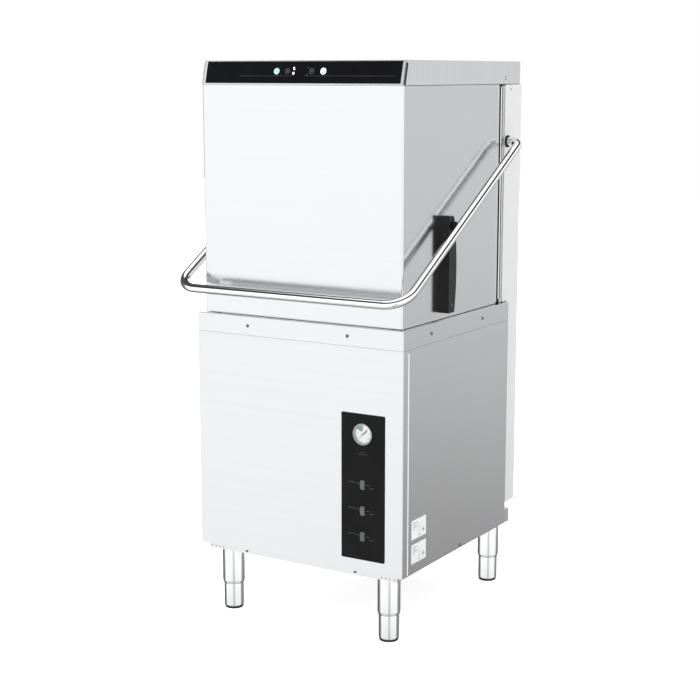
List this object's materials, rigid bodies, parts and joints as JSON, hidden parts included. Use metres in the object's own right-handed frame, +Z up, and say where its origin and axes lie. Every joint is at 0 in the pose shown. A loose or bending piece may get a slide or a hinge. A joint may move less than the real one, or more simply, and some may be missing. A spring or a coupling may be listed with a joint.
{
  "type": "commercial dishwasher",
  "caption": "Hood-type stainless commercial dishwasher with a lift handle, rear column, control fascia, wash tank and adjustable legs.",
  "frame": {"origin": "on the floor, midway between the two sides and midway between the handle's front and the column's back", "axes": "+Z up, front towards -Y, +X to the right seen from the front"},
  "size_m": [0.718, 0.744, 1.495],
  "materials": {
    "brushed_stainless": "brushed",
    "plain_stainless": "mill finish",
    "polished_stainless": "polished",
    "satin_tube": "satin",
    "black_gloss": "gloss",
    "black_plastic": "satin",
    "button_dark": "gloss",
    "button_light": "gloss",
    "button_green": "gloss",
    "screw_steel": "machined",
    "spring_steel": "oiled",
    "gauge_rim": "polished",
    "dial_white": "printed",
    "needle_black": "matt",
    "clear_lens": "clear",
    "label_white": "matt",
    "white_polymer": "moulded",
    "circuit_board": "matt",
    "painted_motor": "satin paint",
    "grey_plastic": "moulded",
    "brass_fitting": "machined"
  },
  "bodies": {
    "cabinet": {"base_frame": "plain_stainless", "leg_tubes": "satin_tube", "rim_frame": "brushed_stainless", "front_panel": "brushed_stainless", "side_panel_left": "brushed_stainless", "side_panel_right": "brushed_stainless", "rear_panel": "plain_stainless", "wash_tank": "plain_stainless", "tank_heater": "polished_stainless", "spray_pipework": "plain_stainless", "rack_tracks": "plain_stainless", "wash_pump": "black_plastic", "pump_motor": "painted_motor", "booster_tank": "plain_stainless", "control_box": "grey_plastic", "dosing_pumps": "grey_plastic", "water_inlet": "brass_fitting", "drain_outlet": "black_plastic", "cable_gland": "black_plastic", "control_panel": "black_gloss", "gauge_case": "gauge_rim", "gauge_dial": "dial_white", "gauge_lens": "clear_lens", "rating_plates": "label_white", "cabinet_screws": "screw_steel", "column_cover": "brushed_stainless", "column_face": "plain_stainless", "guide_rails": "plain_stainless", "column_frame": "plain_stainless", "handle_bushes": "black_plastic", "lift_springs": "spring_steel"},
    "hood": {"hood_shell": "brushed_stainless", "hood_cap": "brushed_stainless", "control_fascia": "black_gloss", "display_board": "circuit_board", "lift_bracket_left": "black_plastic", "lift_bracket_right": "black_plastic", "lift_rollers": "black_plastic", "hood_glides": "white_polymer", "hood_screws": "screw_steel"},
    "handle": {"handle_tube": "polished_stainless", "spring_levers": "plain_stainless"},
    "start_button": {"start_button": "button_green"},
    "drain_button": {"drain_button": "button_dark"},
    "cycle_button": {"cycle_button": "button_dark"},
    "power_button": {"power_button": "button_light"},
    "prime_switch_upper": {"prime_switch_upper": "black_plastic"},
    "prime_switch_middle": {"prime_switch_middle": "black_plastic"},
    "prime_switch_lower": {"prime_switch_lower": "black_plastic"},
    "gauge_needle": {"gauge_needle": "needle_black"},
    "foot_front_left": {"foot_front_left": "satin_tube"},
    "foot_front_right": {"foot_front_right": "satin_tube"},
    "foot_rear_left": {"foot_rear_left": "satin_tube"},
    "foot_rear_right": {"foot_rear_right": "satin_tube"},
    "wash_arm_lower": {"wash_arm_lower": "plain_stainless"},
    "rinse_arm_lower": {"rinse_arm_lower": "plain_stainless"},
    "wash_arm_upper": {"wash_arm_upper": "plain_stainless"},
    "rinse_arm_upper": {"rinse_arm_upper": "plain_stainless"},
    "overflow_pipe": {"overflow_pipe": "plain_stainless"},
    "tank_strainer": {"tank_strainer": "plain_stainless"}
  },
  "joints": [
    {"name": "hood_lift", "type": "slide", "parent": "cabinet", "child": "hood", "axis": [0, 0, 1], "range_m": [0, 0.439], "deforming": ["lift_springs"]},
    {"name": "handle_swing", "type": "hinge", "parent": "cabinet", "child": "handle", "pos_m": [0, 0.285, 1.2785], "axis": [-1, 0, 0], "range_deg": [0, 63.24]},
    {"name": "start_button_press", "type": "slide", "parent": "hood", "child": "start_button", "axis": [0, 0.9683, -0.2499], "range_m": [0, 0.0012], "stiffness_N_per_m": 400},
    {"name": "drain_button_press", "type": "slide", "parent": "hood", "child": "drain_button", "axis": [0, 0.9683, -0.2499], "range_m": [0, 0.0012], "stiffness_N_per_m": 400},
    {"name": "cycle_button_press", "type": "slide", "parent": "hood", "child": "cycle_button", "axis": [0, 0.9683, -0.2499], "range_m": [0, 0.0012], "stiffness_N_per_m": 400},
    {"name": "power_button_press", "type": "slide", "parent": "hood", "child": "power_button", "axis": [0, 0.9683, -0.2499], "range_m": [0, 0.0012], "stiffness_N_per_m": 400},
    {"name": "prime_switch_upper_rock", "type": "hinge", "parent": "cabinet", "child": "prime_switch_upper", "pos_m": [0.2015, -0.308, 0.424], "axis": [1, 0, 0], "range_deg": [-8, 8], "stiffness_Nm_per_rad": 0.05},
    {"name": "prime_switch_middle_rock", "type": "hinge", "parent": "cabinet", "child": "prime_switch_middle", "pos_m": [0.2015, -0.308, 0.3555], "axis": [1, 0, 0], "range_deg": [-8, 8], "stiffness_Nm_per_rad": 0.05},
    {"name": "prime_switch_lower_rock", "type": "hinge", "parent": "cabinet", "child": "prime_switch_lower", "pos_m": [0.2015, -0.308, 0.2865], "axis": [1, 0, 0], "range_deg": [-8, 8], "stiffness_Nm_per_rad": 0.05},
    {"name": "needle_turn", "type": "hinge", "parent": "cabinet", "child": "gauge_needle", "pos_m": [0.2015, -0.305, 0.5575], "axis": [0, 1, 0], "range_deg": [0, 260], "stiffness_Nm_per_rad": 0.00005},
    {"name": "foot_front_left_screw_out", "type": "slide", "parent": "cabinet", "child": "foot_front_left", "axis": [0, 0, -1], "range_m": [0, 0.04]},
    {"name": "foot_front_right_screw_out", "type": "slide", "parent": "cabinet", "child": "foot_front_right", "axis": [0, 0, -1], "range_m": [0, 0.04]},
    {"name": "foot_rear_left_screw_out", "type": "slide", "parent": "cabinet", "child": "foot_rear_left", "axis": [0, 0, -1], "range_m": [0, 0.04]},
    {"name": "foot_rear_right_screw_out", "type": "slide", "parent": "cabinet", "child": "foot_rear_right", "axis": [0, 0, -1], "range_m": [0, 0.04]},
    {"name": "wash_arm_lower_spin", "type": "hinge", "parent": "cabinet", "child": "wash_arm_lower", "pos_m": [0, -0.024, 0.793], "axis": [0, 0, 1], "continuous": true},
    {"name": "rinse_arm_lower_spin", "type": "hinge", "parent": "cabinet", "child": "rinse_arm_lower", "pos_m": [0, -0.024, 0.8105], "axis": [0, 0, 1], "continuous": true},
    {"name": "wash_arm_upper_spin", "type": "hinge", "parent": "cabinet", "child": "wash_arm_upper", "pos_m": [0, -0.024, 1.359], "axis": [0, 0, 1], "continuous": true},
    {"name": "rinse_arm_upper_spin", "type": "hinge", "parent": "cabinet", "child": "rinse_arm_upper", "pos_m": [0, -0.024, 1.3365], "axis": [0, 0, 1], "continuous": true},
    {"name": "overflow_pipe_lift", "type": "slide", "parent": "cabinet", "child": "overflow_pipe", "axis": [0, 0, 1], "range_m": [0, 0.11]},
    {"name": "tank_strainer_lift", "type": "slide", "parent": "cabinet", "child": "tank_strainer", "axis": [0, 0, 1], "range_m": [0, 0.025]}
  ],
  "couplings": [
    {"joint": "handle_swing", "follows": "hood_lift", "rad_per_m": 2.5103}
  ]
}
